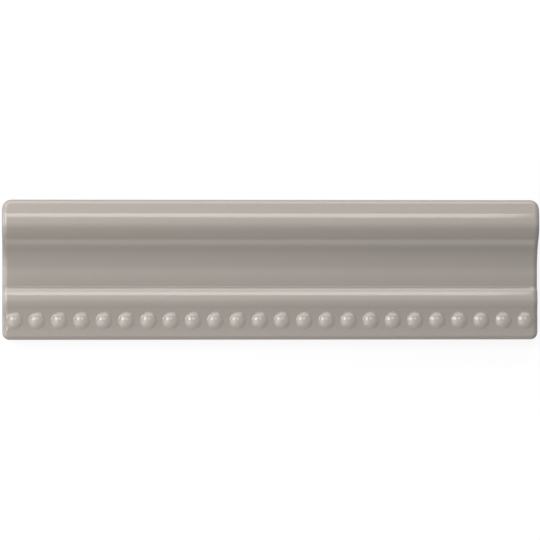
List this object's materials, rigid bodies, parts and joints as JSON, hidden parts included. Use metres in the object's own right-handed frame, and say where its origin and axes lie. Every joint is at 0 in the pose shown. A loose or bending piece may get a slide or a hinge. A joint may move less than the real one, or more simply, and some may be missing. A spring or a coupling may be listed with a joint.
{
  "type": "moulding tile",
  "caption": "Glazed ceramic moulding tile with an ogee nose, a cove, a rail and a row of beads along its lower fascia",
  "frame": {"origin": "middle of the flat back, which lies on the floor", "axes": "+X along the length, to the right as the face is seen with its nose up; +Y across the tile, from the bead row to the nose; +Z out of the moulded face"},
  "size_m": [0.152, 0.0396, 0.0121],
  "materials": {
    "glaze": "gloss glaze"
  },
  "bodies": {
    "root": {"moulding_tile": "glaze"}
  },
  "joints": []
}
